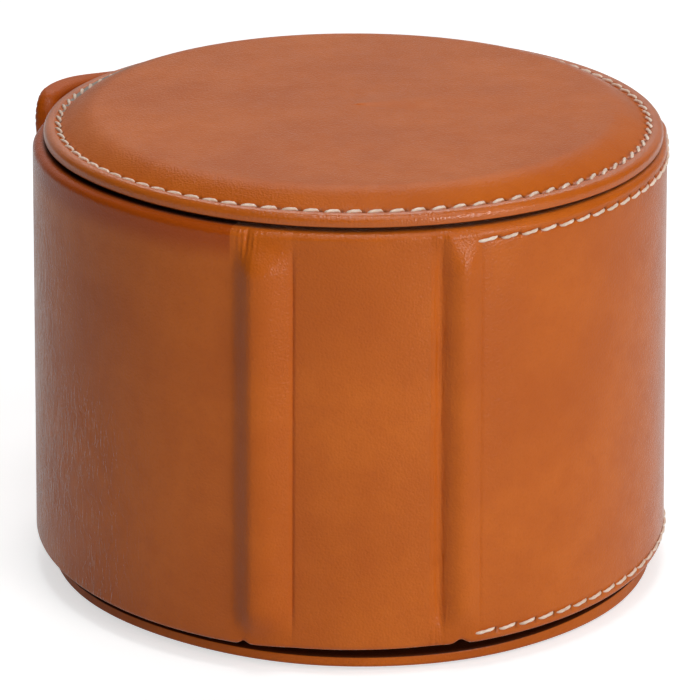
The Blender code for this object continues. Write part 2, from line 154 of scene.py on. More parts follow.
def loft(name, sections, look, uv=None, dark=None, ring=False, sharp=50):
    """A closed solid through closed sections. With ring, the last section joins the first."""
    rows, columns, _ = sections.shape
    faces = grid_faces(rows, columns, closed_columns=True, closed_rows=ring)
    if not ring:
        faces.append(tuple(range(columns)))
        faces.append(tuple(range((rows - 1) * columns, rows * columns))[::-1])
    points = sections.reshape(-1, 3)
    if volume(points, faces) < 0:
        faces = [face[::-1] for face in faces]
    uv = None if uv is None else uv.reshape(-1, 2)
    dark = None if dark is None else dark.reshape(-1)
    return build(name, points, faces, look, uv, dark, sharp)


def volume(points, faces):
    total = 0.0
    for face in faces:
        a = points[face[0]]
        for k in range(1, len(face) - 1):
            total += float(np.dot(a, np.cross(points[face[k]], points[face[k + 1]])))
    return total


# Materials


TAN = (0.545, 0.116, 0.0085)
TAN_LIGHT = (0.640, 0.147, 0.0115)
TAN_BLOTCH = (0.50, 0.096, 0.0068)
TAN_SPECK = (0.42, 0.078, 0.006)
TAN_DEEP = (0.50, 0.078, 0.0015)
# Painted shade, darker and redder, for the wall's top band under the cap.
TAN_OVERHANG_SHADE = (0.42, 0.060, 0.0010)
# Painted shade: the colour for needle holes, slits, pleat grooves and the turned lips hidden in the gaps.
TAN_PAINTED_SHADE = (0.028, 0.006, 0.002)
THREAD_LIGHT = (0.92, 0.75, 0.61)
THREAD_SOILED = (0.76, 0.57, 0.43)
THREAD_FIBRE = (0.52, 0.37, 0.26)
# Painted shade for the foam's pores.
FOAM_PORE_SHADE = (0.60, 0.57, 0.48)
FOAM_WALL = (0.80, 0.78, 0.70)
BOARD_LIGHT = (0.34, 0.31, 0.27)
BOARD_DARK = (0.25, 0.225, 0.19)
BOARD_LAYER = (0.18, 0.16, 0.135)
STEEL_LIGHT = (0.62, 0.63, 0.65)
STEEL_DARK = (0.48, 0.49, 0.51)


def rgba(colour):
    return (*colour, 1.0) if isinstance(colour, tuple) else colour


class Look:
    """A node material, with short ways to add and join its nodes."""

    def __init__(self, name):
        self.material = bpy.data.materials.new(name)
        self.material.use_nodes = True
        self.tree = self.material.node_tree
        self.shader = self.tree.nodes["Principled BSDF"]
        self.texture_coordinates = self.add("ShaderNodeTexCoord")

    def add(self, kind, **settings):
        """A new node. A setting with a capital letter is an input, and any other is the node's own."""
        node = self.tree.nodes.new(kind)
        for name, value in settings.items():
            if name[0].isupper():
                self.feed(node.inputs[name.replace("_", " ")], value)
            else:
                setattr(node, name, value)
        return node

    def feed(self, socket, value):
        if isinstance(value, bpy.types.NodeSocket):
            self.tree.links.new(value, socket)
        elif isinstance(value, bpy.types.Node):
            self.tree.links.new(value.outputs[0], socket)
        else:
            socket.default_value = value

    def place(self, scale=(1, 1, 1), turn=(0, 0, 0), uv=False):
        mapping = self.add("ShaderNodeMapping")
        self.feed(mapping.inputs["Vector"], self.texture_coordinates.outputs["UV" if uv else "Object"])
        mapping.inputs["Scale"].default_value = scale
        mapping.inputs["Rotation"].default_value = turn
        return mapping

    def axes(self, kind):
        """The three separate axes of the Object or UV coordinates."""
        node = self.add("ShaderNodeSeparateXYZ")
        self.feed(node.inputs[0], self.texture_coordinates.outputs[kind])
        return node.outputs

    def noise(self, place, scale, detail=3.0, roughness=0.55, distortion=0.0):
        return self.add(
            "ShaderNodeTexNoise", Vector=place, Scale=scale, Detail=detail, Roughness=roughness,
            Distortion=distortion,
        )

    def pores(self, place, scale):
        node = self.add("ShaderNodeTexVoronoi", feature="SMOOTH_F1", Vector=place, Scale=scale)
        node.inputs["Smoothness"].default_value = 0.35
        return node.outputs["Distance"]

    def cells(self, place, scale):
        return self.add("ShaderNodeTexVoronoi", feature="F1", Vector=place, Scale=scale).outputs["Distance"]

    def maths(self, operation, a, b=0.0):
        node = self.add("ShaderNodeMath", operation=operation)
        self.feed(node.inputs[0], a)
        self.feed(node.inputs[1], b)
        return node

    def ramp(self, value, low, high, to_low=0.0, to_high=1.0):
        node = self.add("ShaderNodeMapRange", interpolation_type="SMOOTHSTEP", Value=value)
        node.inputs["From Min"].default_value = low
        node.inputs["From Max"].default_value = high
        node.inputs["To Min"].default_value = to_low
        node.inputs["To Max"].default_value = to_high
        return node

    def mix(self, factor, a, b):
        node = self.add("ShaderNodeMix", data_type="RGBA")
        self.feed(node.inputs[0], factor)
        self.feed(node.inputs[6], rgba(a))
        self.feed(node.inputs[7], rgba(b))
        return node.outputs[2]

    def bump(self, height, distance, after=None):
        node = self.add("ShaderNodeBump", Height=height, Distance=distance)
        if after:
            self.feed(node.inputs["Normal"], after)
        return node

    def finish(self, colour, roughness, normal, **values):
        self.feed(self.shader.inputs["Base Color"], rgba(colour))
        self.feed(self.shader.inputs["Roughness"], roughness)
        self.feed(self.shader.inputs["Normal"], normal)
        for name, value in values.items():
            self.feed(self.shader.inputs[name.replace("_", " ")], value)
        return self.material


def wrinkles(look, colour, normal):
    """Slanting wrinkles over the left of the wall, and a darker, redder band of painted shade along its top
    edge under the cap.
    """
    slanted = look.place(scale=(1.0, 0.30, 1.0), turn=(0.0, 0.0, math.radians(-38)), uv=True)
    fold = look.noise(slanted, 620.0, 3.0, 0.6, 0.6)
    ridge = look.maths("ABSOLUTE", look.maths("SUBTRACT", fold, 0.5))
    valley = look.ramp(ridge, 0.0, 0.11)
    patch = look.ramp(look.noise(look.place(uv=True), 26.0, 2.0), 0.42, 0.62)
    left = look.ramp(look.axes("UV")[0], -0.026, -0.048)
    strength = look.maths("MULTIPLY", look.maths("ADD", look.maths("MULTIPLY", patch, 0.75), 0.25), left)
    level = look.axes("Object")[2]
    strength = look.maths("MULTIPLY", strength, look.ramp(level, 0.067, 0.061))
    normal = look.bump(look.maths("MULTIPLY", valley, strength), 0.00008, normal)
    # Painted shade: the top band of the wall, under the cap's overhang, goes darker and redder.
    return look.mix(look.ramp(level, 0.0665, 0.0705, 0.0, 0.8), colour, TAN_OVERHANG_SHADE), normal


def small_folds(look, normal):
    """Fine upright folds in the hollow between the spine and the right rib."""
    fine = look.noise(look.place(scale=(1.0, 0.10, 1.0), uv=True), 1500.0, 2.0, 0.6)
    near = look.maths("SUBTRACT", look.axes("UV")[0], 0.0138)
    near = look.ramp(look.maths("ABSOLUTE", near), 0.0022, 0.0006)
    return look.bump(look.maths("MULTIPLY", fine, near), 0.00022, normal)


def rim_gloss(look):
    """A cap's (sheen, coat): its rim is the glossiest, and the top cap glossier than the base."""
    spot = look.axes("Object")
    squares = [look.maths("MULTIPLY", spot[i], spot[i]) for i in range(2)]
    radius = look.maths("SQRT", look.maths("ADD", squares[0], squares[1]))
    upper = look.ramp(spot[2], 0.02, 0.05, 0.3, 1.0)
    coat = look.maths("MULTIPLY", look.ramp(radius, 0.0468, 0.0476, 0.2, 0.85), upper)
    sheen = look.maths("MULTIPLY", look.ramp(radius, 0.0440, 0.0476, 0.55, 0.2), upper)
    return sheen, coat


def leather(name, wrinkled=False, folded=False, rimmed=False, sheen=0.72, coat=0.45, deep=0.0):
    """Smooth tan leather: clouded colour, fine pebbled grain, a velvety sheen and a waxed coat, with painted
    shade where its dark attribute is set.
    """
    look = Look(name)
    place = look.place()
    cloud = look.noise(place, 38.0, 3.0)
    blotch = look.noise(place, 240.0, 4.0, 0.65)
    speck = look.noise(place, 2600.0, 2.0)
    colour = look.mix(look.ramp(cloud, 0.3, 0.7), TAN, TAN_LIGHT)
    colour = look.mix(look.ramp(blotch, 0.35, 0.75, 0.0, 0.30), colour, TAN_BLOTCH)
    colour = look.mix(look.ramp(speck, 0.50, 0.80, 0.0, 0.22), colour, TAN_SPECK)
    colour = look.mix(deep, colour, TAN_DEEP)
    grain = look.noise(place, 3000.0, 3.0, 0.6)
    pebble = look.maths("ADD", look.maths("MULTIPLY", look.pores(place, 2600.0), 0.9), grain)
    normal = look.bump(pebble, 0.000052)
    if wrinkled:
        colour, normal = wrinkles(look, colour, normal)
    if folded:
        normal = small_folds(look, normal)
    if rimmed:
        sheen, coat = rim_gloss(look)
    # Painted shade: where the dark attribute is set, the colour goes to painted shade and the sheen and coat
    # fade out.
    painted_shade = look.add("ShaderNodeAttribute", attribute_name="dark").outputs["Fac"]
    colour = look.mix(painted_shade, colour, TAN_PAINTED_SHADE)
    rough = look.ramp(look.maths("ADD", blotch, look.maths("MULTIPLY", grain, 0.5)), 0.5, 1.1, 0.40, 0.56)
    unshaded = look.maths("SUBTRACT", 1.0, painted_shade)
    wax = look.maths("MULTIPLY", unshaded, coat)
    fuzz = look.maths("MULTIPLY", unshaded, sheen)
    return look.finish(
        colour, rough, normal, IOR=1.15, Sheen_Weight=fuzz, Sheen_Roughness=0.2,
        Coat_Weight=wax, Coat_Roughness=0.22, Coat_Normal=normal,
    )


def thread_look():
    look = Look("waxed_thread")
    fibres = look.noise(look.place(), 5200.0, 3.0, 0.7)
    soil = look.noise(look.place(), 420.0, 2.0)
    colour = look.mix(look.ramp(soil, 0.35, 0.75), THREAD_LIGHT, THREAD_SOILED)
    colour = look.mix(look.ramp(fibres, 0.45, 0.75, 0.0, 0.35), colour, THREAD_FIBRE)
    return look.finish(colour, 0.5, look.bump(fibres, 0.00006))


def suede_look(name, colour, shade):
    look = Look(name)
    nap = look.noise(look.place(), 2300.0, 4.0, 0.7)
    stroke = look.noise(look.place(scale=(1.0, 1.0, 0.55)), 120.0, 3.0, 0.6, 0.4)
    tone = look.mix(look.ramp(stroke, 0.38, 0.66), colour, shade)
    tone = look.mix(look.ramp(nap, 0.45, 0.75, 0.0, 0.4), tone, tuple(0.62 * c for c in shade))
    return look.finish(tone, 0.93, look.bump(nap, 0.00016), Sheen_Weight=0.35, Sheen_Roughness=0.55)


def foam_look():
    look = Look("open_foam")
    cell = look.cells(look.place(), 1100.0)
    # Painted shade in the foam's pores.
    tone = look.mix(look.ramp(cell, 0.1, 0.6), FOAM_PORE_SHADE, FOAM_WALL)
    return look.finish(tone, 0.95, look.bump(cell, 0.0003))


def board_look():
    look = Look("greyboard")
    fleck = look.noise(look.place(), 900.0, 4.0, 0.7)
    layer = look.noise(look.place(scale=(1.0, 1.0, 0.1)), 300.0, 3.0)
    tone = look.mix(look.ramp(fleck, 0.35, 0.7), BOARD_LIGHT, BOARD_DARK)
    tone = look.mix(look.ramp(layer, 0.5, 0.8, 0.0, 0.3), tone, BOARD_LAYER)
    return look.finish(tone, 0.88, look.bump(fleck, 0.0001))


def steel_look():
    look = Look("plated_steel")
    brush = look.noise(look.place(scale=(1.0, 1.0, 18.0)), 700.0, 4.0, 0.6)
    tone = look.mix(look.ramp(brush, 0.35, 0.7), STEEL_LIGHT, STEEL_DARK)
    rough = look.ramp(brush, 0.3, 0.7, 0.22, 0.40)
    return look.finish(tone, rough, look.bump(brush, 0.00002), Metallic=1.0)


plain_leather = leather("tan_leather")
cap_skin = leather("tan_leather_cap", rimmed=True)
shell_skin = leather("tan_leather_wrinkled", wrinkled=True)
fold_skin = leather("tan_leather_folded", folded=True, coat=0.35)
tongue_leather = leather("tan_leather_tongue", sheen=0.0, coat=0.2, deep=0.6)
thread = thread_look()
suede = suede_look("beige_suede", (0.50, 0.36, 0.23), (0.40, 0.28, 0.17))
cushion_suede = suede_look("cushion_suede", (0.53, 0.39, 0.26), (0.43, 0.305, 0.19))
foam = foam_look()
board = board_look()
steel = steel_look()


# The wrap's outer face


IN_VIEW = 98
FOOT_OUT = 0.95
FOOT_TO_TOP = 1.21
LEFT_LEAN_TOP = 0.57
LEFT_LEAN_FOOT = 0.33
FRONT_RIB = 2.2
FRONT_CREST = 0.44
FRONT_GROOVE = 0.22
SIDE_RIB = 1.1
SIDE_VALLEY = 0.75
SIDE_GROOVE = 0.12
GATHER = 0.07
GATHER_PITCH = 0.95


def taper(height):
    """How far a rib has swelled at this height: almost nothing at either edge of the wrap."""
    away = np.minimum(height - LOW, HIGH - height)
    return 0.06 + 0.94 * ease((away - 0.6) / 6.4)


def front_rib(angle, height):
    """The left rib: a steep left flank, a long right one and a groove where it meets the spine."""
    share = np.clip((angle - FRONT_START) / (FRONT_END - FRONT_START), 0, 1)
    left = np.sin(np.pi / 2 * np.clip(share / FRONT_CREST, 0, 1)) ** 2
    right = np.cos(np.pi / 2 * np.clip((share - FRONT_CREST) / (1 - FRONT_CREST), 0, 1)) ** 1.15
    swell = np.where(share < FRONT_CREST, left, right)
    swell = np.where((share <= 0) | (share >= 1), 0, swell)
    groove = bell(angle, FRONT_END, 0.35) * taper(height) ** 2
    return FRONT_RIB * swell * taper(height) - FRONT_GROOVE * groove - (WRAP - SPINE) * share


def side_rib(angle, height):
    """The right rib: a hollow beside the spine, a low hump and a faint line where the cover begins."""
    share = np.clip((angle - SIDE_START) / (SIDE_END - SIDE_START), 0, 1)
    hump = np.sin(np.pi * np.clip((share - 0.24) / 0.76, 0, 1)) ** 1.3
    swell = SIDE_RIB * hump - SIDE_VALLEY * bell(share, 0.20, 0.14)
    swell = np.where((share > 0) & (share < 1), swell, 0) - SIDE_GROOVE * bell(angle, SIDE_END, 0.3)
    return swell * taper(height) + (WRAP - SPINE) * share


def top_gathers(angle, height):
    """Small creases along the top edge at the left rib, and a fullness at the right one."""
    top = HIGH - height
    gather = GATHER * bell(angle, -18.3, 1.9) * bell(top, 1.6, 2.4)
    creases = gather * np.sin(2 * np.pi * angle / GATHER_PITCH)
    dent = 0.3 * bell(angle, -18.2, 0.6) * bell(top, 0.0, 3.0)
    return creases - dent + 0.35 * bell(angle, 17.2, 1.2) * bell(top, 1.6, 2.0)


def wrap_radius(angle, height):
    """The wrap's outer face, all the way round: fixed half, rib, spine, rib, cover."""
    angle, height = np.broadcast_arrays(np.asarray(angle, float), np.asarray(height, float))
    rise = (height - LOW) / (HIGH - LOW)
    lean = (LEFT_LEAN_TOP * rise + LEFT_LEAN_FOOT * (1 - rise)) * np.sin(np.radians(angle))
    radius = WRAP + ease((IN_VIEW - np.abs(angle)) / 9) * (FOOT_OUT - FOOT_TO_TOP * rise - lean)
    return radius + front_rib(angle, height) + side_rib(angle, height) + top_gathers(angle, height)


def edge_lift(angle, height):
    """How far the wrap's edges lie above level, towards the sides and, at the foot, at the ribs."""
    across = np.sin(np.radians(np.clip(angle, -90, 90)))
    side = 0.08 + np.where(across < 0, 1.1, 0.75) * across ** 2
    rise = side * ease((IN_VIEW - np.abs(angle)) / 9) * ease((LOW + 20 - height) / 20)
    notch = 0.75 * bell(angle, 19.3, 1.1) + 0.55 * bell(angle, -19.0, 0.8)
    rise = rise + notch * ease((LOW + 7 - height) / 7)
    top = 0.45 * ease((angle - 25) / 50) * ease((125 - angle) / 15) + 0.28 * bell(angle, -48, 22)
    return rise + top * ease((height - HIGH + 8) / 6)


def seam_marks(along, across):
    """(dent, dark) round each needle hole of the cover's stitches, where dark is painted shade in the hole
    and its slit. All values are in millimetres.
    """
    step = np.clip(np.round((along - SEAM_FIRST) / STITCH_PITCH), 0, SEAM_COUNT)
    near = along - SEAM_FIRST - step * STITCH_PITCH
    hole = np.exp(-((near / 0.38) ** 2) - ((across / 0.26) ** 2))
    on_run = ease((along - SEAM_FIRST + 1.2) / 0.8) * ease((SEAM_LAST + 1.2 - along) / 0.8)
    furrow = np.exp(-((across / 0.62) ** 2)) * on_run
    # Painted shade in the slit each needle leaves.
    slit = np.exp(-((near / 0.46) ** 2) - (((across + 0.45 * near) / 0.15) ** 2))
    return 0.13 * furrow + 0.34 * hole, 0.95 * slit + 0.10 * hole


ROUND_LOW = 1.0
ROUND_HIGH = 1.3
TURNED_TO = 47.0
LIP = 2.4
# The turned edge's inner corner, as how far out and how far in from the edge.
LIP_CORNER = [(0.0, 1.1), (0.0, 0.35), (0.12, 0.1), (0.4, 0.0)]


def wrap_section(thickness):
    """The C-shaped section: (inset from the outer face or own radius, height, 1 for own radius)."""
    turns = np.radians(np.arange(0, 91, 10))
    heights = chain(
        lines(LOW + 2.0, LOW + 3.2, 0.2), lines(LOW + 3.2, LOW + 9, 0.8), lines(LOW + 9, HIGH - 9, 2.0),
        lines(HIGH - 9, HIGH - 3.2, 0.8), lines(HIGH - 3.2, HIGH - 1.4, 0.2),
    )
    path = [(TURNED_TO + out, LOW + up, 1) for out, up in LIP_CORNER]
    path.append((LIP, LOW, 0))
    for turn in turns:
        path.append((ROUND_LOW * (1 - math.sin(turn)), LOW + ROUND_LOW * (1 - math.cos(turn)), 0))
    for height in heights:
        path.append((0.0, height, 0))
    for turn in turns[::-1]:
        path.append((ROUND_HIGH * (1 - math.sin(turn)), HIGH - ROUND_HIGH * (1 - math.cos(turn)), 0))
    path.append((LIP, HIGH, 0))
    path += [(TURNED_TO + out, HIGH - down, 1) for out, down in LIP_CORNER[::-1]]
    path.append((thickness + 0.9, HIGH - 1.1, 0))
    for height in [HIGH - 1.8, *np.linspace(HIGH - 6, LOW + 6, 9), LOW + 1.8]:
        path.append((thickness, height, 0))
    path.append((thickness + 0.9, LOW + 1.1, 0))
    return np.array(path)


def wrap_skin(name, angles, look, thickness=1.1, lip_painted_shade=0.5, seams=()):
    """A stretch of the wrap's leather, with needle holes along the height of each seam, painted shade in the
    holes, and its turned lips painted dark as shade in the gaps under the caps.
    """
    inset, height, own = wrap_section(thickness).T
    grid_angle = angles[:, None]
    grid_height = height[None, :]
    outer = wrap_radius(grid_angle, grid_height)
    face = (own == 0) & (inset < 0.6)
    # The turned lips sit in the gaps under the caps' rims and are painted dark as shade.
    lip = (own == 1) | (inset == LIP)
    dark = np.where(lip, lip_painted_shade, np.zeros_like(outer))
    along = np.radians(grid_angle) * WRAP
    for seam in seams:
        dent, shade = seam_marks(along, grid_height - seam)
        outer = outer - np.where(face, dent, 0)
        dark = np.maximum(dark, np.where(face, shade, 0))
    radius = np.where(own == 1, inset, outer - inset)
    points = around(grid_angle, radius, grid_height + edge_lift(grid_angle, grid_height))
    uv = np.stack(np.broadcast_arrays(along * MM, grid_height * MM), -1)
    return loft(name, points, look, uv, np.clip(dark, 0, 1))


shell_angles = chain(lines(SHELL_START, -108, 2.0), lines(-108, -24, 0.75), lines(-24, FRONT_START, 0.2))
front_angles = lines(FRONT_START, FRONT_END, 0.15)
spine_angles = chain(
    lines(FRONT_END, FRONT_END + 2, 0.2), lines(FRONT_END + 2, SIDE_START - 1, 0.5),
    lines(SIDE_START - 1, SIDE_START, 0.2),
)
side_angles = lines(SIDE_START, SIDE_END, 0.15)
flap_angles = chain(lines(SIDE_END, 112, 0.25), lines(112, FLAP_END, 0.5))

# The fixed half's turned lips get the most painted shade.
shell = wrap_skin("shell_skin", shell_angles, shell_skin, lip_painted_shade=0.9)
front_fold = wrap_skin("front_fold_skin", front_angles, fold_skin)
spine = wrap_skin("spine_skin", spine_angles, plain_leather, thickness=0.6)
side_fold = wrap_skin("side_fold_skin", side_angles, fold_skin)
flap = wrap_skin("flap_skin", flap_angles, plain_leather, seams=(HIGH - SEAM_INSET, LOW + SEAM_INSET))


# Stitches


def stitches(name, starts, ends, normals, rise=0.14, thick=1.0):
    """One twisted stitch from each start to each end, bowed out along its normal."""
    steps = 14
    sides = 12
    sink = 0.30
    twists = 1.15
    share = np.linspace(0, 1, steps + 1)
    along = ends - starts
    unit = along / np.linalg.norm(along, axis=1, keepdims=True)
    side = np.cross(normals, unit)
    side /= np.linalg.norm(side, axis=1, keepdims=True)
    bow = -sink + (sink + rise) * (1 - np.abs(2 * share - 1) ** 5)
    fat = thick * THREAD_RADIUS * (1.06 - 0.50 * np.abs(2 * share - 1) ** 4)
    turn = np.linspace(0, 2 * np.pi, sides, endpoint=False)
    lobes = 0.90 + 0.10 * np.cos(2 * (turn[None, :] - 2 * np.pi * twists * share[:, None]))
    ring = fat[:, None] * lobes
    points = (
        starts[:, None, None, :]
        + along[:, None, None, :] * share[None, :, None, None]
        + normals[:, None, None, :] * (bow[:, None] + ring * np.cos(turn))[None, :, :, None]
        + side[:, None, None, :] * (ring * np.sin(turn))[None, :, :, None]
    )
    each = (steps + 1) * sides
    faces = []
    for first in range(0, len(starts) * each, each):
        faces += grid_faces(steps + 1, sides, closed_columns=True, first=first)
        faces.append(tuple(range(first, first + sides)))
        faces.append(tuple(range(first + steps * sides, first + each))[::-1])
    flat = points.reshape(-1, 3)
    one = faces[: len(faces) // len(starts)]
    if volume(flat - flat[:each].mean(0), one) < 0:
        faces = [face[::-1] for face in faces]
    return build(name, flat, faces, thread, sharp=80)


def flap_run(name, height):
    """The cover's stitches at one height. The lower run follows the wrap's lower edge."""
    gap = 0.36
    slant = 0.2
    holes = SEAM_FIRST + STITCH_PITCH * np.arange(SEAM_COUNT + 1)
    start = np.degrees((holes[:-1] + gap) / WRAP)
    end = np.degrees((holes[1:] - gap) / WRAP)
    start[0] -= 0.6
    low = height < MIDDLE
    a = around(start, wrap_radius(start, height), height - slant + low * edge_lift(start, height))
    b = around(end, wrap_radius(end, height), height + slant + low * edge_lift(end, height))
    return stitches(name, a, b, around((start + end) / 2, 1.0, 0.0))


flap_top = flap_run("flap_top_stitches", HIGH - SEAM_INSET)
flap_bottom = flap_run("flap_bottom_stitches", LOW + SEAM_INSET)


# End caps

# How high and how wide each cap's pillow rises from its edge.
CAP_PILLOW = {"bottom": (1.52, 5.2), "top": (2.42, 5.9)}
PILLOW_EDGE = 47.2
FURROW = 1.78
RIM_TOP = {"bottom": 2.7, "top": 2.15}
RIM_DROP = {"bottom": 0.55, "top": 0.0}
RIM_ROUND = {"bottom": 0.9, "top": 1.15}
RIM_ROUND_IN = 0.55
CAP_LEATHER = 0.6
CAP_TURNED_TO = 42.0


def cap_face(side, radius):
    """Height of the cap's face over its underside: a pillow, a furrow at the stitching and a rolled rim."""
    height, width = CAP_PILLOW[side]
    radius = np.asarray(radius, float)
    pillow = height * np.sin(np.pi / 2 * np.clip((PILLOW_EDGE - radius) / width, 0, 1))
    rim = (RIM_TOP[side] - FURROW) * ease((radius - 47.75) / 0.75)
    return FURROW + pillow + rim


def cap_lean(side, angle, radius, inner=0.0):
    """How far hand work leaves a cap from level. inner is 1 on the side of the rim that faces the wrap."""
    turn = (angle + 180) % 360 - 180
    if side == "top":
        across = np.maximum(np.sin(np.radians(angle)), 0) * ease((46.8 - radius) / 4)
        pillow = 0.24 * across * ease((110 - np.abs(angle % 360 - 180)) / 40)
        crest = 0.1 + 0.12 * bell(turn, 12, 60) - 0.3 * bell(turn, -48, 22) + 0.22 * bell(turn, 56, 20)
        crest = crest * ease((radius - 47.7) / 0.9)
        return pillow - crest - 0.6 * bell(angle % 360, 222, 38) * ease((radius - 45.5) / 1.5)
    rim = 0.5 * bell(turn, -38, 24) - 0.2 * bell(turn, 24, 16) + bell(turn, 60, 22) * (0.72 * inner - 0.37)
    return rim * ease((radius - 46.5) / 2.5)


def cap_section(side):
    """A cap's section as (radius, level), and how many of its points lie on the stitched face."""
    top = RIM_TOP[side]
    drop = RIM_DROP[side]
    fold = RIM_ROUND[side]
    outer_radii = chain(lines(40, 45.6, 0.5), lines(45.6, 48.8, 0.16))
    radii = chain([0.6], lines(2, 34, 2.0), lines(34, 40, 1.0), outer_radii)
    path = [(r, float(cap_face(side, r))) for r in radii]
    for turn in np.radians(np.arange(0, 91, 11.25)):
        path.append((CAP_RADIUS - fold * (1 - math.sin(turn)), top - fold * (1 - math.cos(turn))))
    for turn in np.radians(np.arange(0, 91, 15)):
        inwards = RIM_ROUND_IN * (1 - math.cos(turn))
        path.append((CAP_RADIUS - inwards, drop + RIM_ROUND_IN * (1 - math.sin(turn))))
    path += [(46.0, 0.0), (CAP_TURNED_TO + 0.3, 0.0), (CAP_TURNED_TO, 0.15), (CAP_TURNED_TO, 0.5)]
    path += [(CAP_TURNED_TO + 0.3, CAP_LEATHER), (46.0, CAP_LEATHER), (49.0, CAP_LEATHER + drop / 2)]
    path += [(49.35, 0.9 + drop / 2), (49.3, 1.3), (48.6, 1.56), (47.5, 1.54), (46.8, 1.58)]
    for r in (46, 45, 44, 42.5, 41, 36, 30, 20, 10, 0.6):
        path.append((r, float(cap_face(side, r)) - CAP_LEATHER))
    return np.array(path), len(radii)


def cap_cover(side):
    """A cap's leather, turned over its rim, with a needle hole between each two stitches, painted shade in
    each hole and slit, and the side of its rim in the gap by the wrap painted dark as shade.
    """
    base, up = CAP_FACES[side]
    path, face_points = cap_section(side)
    columns = len(path)
    per_stitch = 14
    count = CAP_STITCHES * per_stitch
    grid = (np.arange(count) * 360.0 / count)[:, None]
    radius = np.broadcast_to(path[:, 0], (count, columns))
    flat_level = path[None, :, 1]
    phase = (grid - CAP_PHASE) / 360 * CAP_STITCHES - 0.5
    near = (phase - np.round(phase)) * 2 * np.pi * CAP_SEAM / CAP_STITCHES
    across = CAP_SEAM - radius
    on_face = np.arange(columns) < face_points
    hole = np.exp(-((near / 0.40) ** 2) - ((across / 0.30) ** 2)) * on_face
    # Painted shade in each needle hole and its slit.
    slit = np.exp(-((near / 0.45) ** 2) - (((across + 0.8 * near) / 0.36) ** 2)) * on_face
    dark = np.clip(0.95 * slit + 0.1 * hole, 0, 1)
    # The side of the rim in the gap by the wrap is painted dark as shade.
    dark = np.maximum(dark, 0.95 * (flat_level < RIM_DROP[side] + 0.3))
    points = around(grid, radius, base + up * (flat_level - 0.3 * hole))
    points[..., 2] += cap_lean(side, grid, radius, 1 - ease((flat_level - 1.0) / 0.8))
    faces = grid_faces(count, columns, closed_rows=True)
    flat = points.reshape(-1, 3)
    middle = float(cap_face(side, 0))
    centres = np.array([[0, 0, base + up * middle], [0, 0, base + up * (middle - CAP_LEATHER)]])
    outer_centre = len(flat)
    inner_centre = outer_centre + 1
    for i in range(count):
        j = (i + 1) % count
        faces.append((outer_centre, j * columns, i * columns))
        faces.append((inner_centre, i * columns + columns - 1, j * columns + columns - 1))
    flat = np.concatenate([flat, centres])
    if volume(flat, faces) < 0:
        faces = [face[::-1] for face in faces]
    dark = np.concatenate([dark.reshape(-1), [0, 0]])
    return build(side + "_cover_skin", flat, faces, cap_skin, flat[:, :2] * MM, dark)


def cap_run(side):
    """The ring of slanted stitches round a cap."""
    base, up = CAP_FACES[side]
    centre = CAP_PHASE + np.arange(CAP_STITCHES) * 360.0 / CAP_STITCHES
    half = math.degrees(1.30 / CAP_SEAM)
    middle = CAP_SEAM + 0.2
    slant = 0.48
    height = base + up * (FURROW - 0.08) + cap_lean(side, centre, CAP_SEAM)
    a = around(centre - half, middle + slant, height)
    b = around(centre + half, middle - slant, height)
    normals = np.tile([0.0, 0.0, float(up)], (CAP_STITCHES, 1))
    return stitches(side + "_cap_stitches", a, b, normals, rise=0.24, thick=1.12)


def turned(name, path, look):
    """A solid of revolution about the drum's axis, from a path of (radius, height)."""
    path = np.array(path)
    angles = np.arange(0, 360, 3.0)
    return loft(name, around(angles[:, None], path[None, :, 0], path[None, :, 1]), look, ring=True)


def cap_foam(side):
    """The padding that fills out a cap's face."""
    base, up = CAP_FACES[side]
    board_face = 1.85
    path = [(0.05, base + up * board_face), (44.0, base + up * board_face)]
    for radius in (43.2, 41.5, 39, 35, 28, 18, 8, 0.05):
        path.append((radius, base + up * (float(cap_face(side, radius)) - CAP_LEATHER - 0.15)))
    return turned(side + "_cap_foam", path, foam)


def lining_disc(name, low):
    """A thin suede disc over a plug board."""
    radius = 45.7
    high = low + 0.55
    edge = [(0.05, low), (radius - 0.3, low), (radius, low + 0.15), (radius, high - 0.2)]
    face = [(radius - 0.2, high), (radius * 0.66, high), (radius * 0.33, high), (0.05, high)]
    return turned(name, edge + face, suede)


caps = {}
for side in ("bottom", "top"):
    caps[side] = (cap_cover(side), cap_run(side), cap_foam(side))


# Linings and foam


def curved_panel(name, start, end, inner, outer, low, high, look, step=1.0):
    """A curved slab with softened edges. outer is a radius or takes (angle, height)."""
    soft = 0.2
    heights = np.concatenate([[low, low + soft], np.linspace(low + 3, high - 3, 12), [high - soft, high]])
    angles = lines(start, end, step)
    trims = [soft if z in (low, high) else 0.0 for z in heights]
    columns = []
    for z, trim in zip(heights, trims):
        value = outer(angles, z) if callable(outer) else outer
        columns.append(around(angles, value - trim, z))
    for z, trim in zip(heights[::-1], trims[::-1]):
        columns.append(around(angles, inner + trim, z))
    return loft(name, np.stack(columns, axis=1), look)


def lining(name, start, end, step=1.0):
    return curved_panel(name, start, end, LINING_IN, LINING_OUT, LOW + 0.3, HIGH - 0.3, suede, step)


def padding(name, start, end):
    return curved_panel(name, start, end, FOAM_IN, foam_outside, LOW + 1.8, HIGH - 1.8, foam)


def foam_outside(angle, height):
    return wrap_radius(angle, height) - 1.3


shell_lining = lining("shell_suede", SHELL_START, FRONT_START)
front_lining = lining("front_fold_suede", FRONT_START, FRONT_END, 0.5)
spine_lining = lining("spine_suede", FRONT_END, SIDE_START)
side_lining = lining("side_fold_suede", SIDE_START, SIDE_END, 0.5)
flap_lining = lining("flap_suede", SIDE_END, FLAP_END)
shell_foam = padding("shell_foam", SHELL_START + 2, FRONT_START - 1)
flap_foam = padding("flap_foam", SIDE_END + 1, FLAP_END)


# Tongue


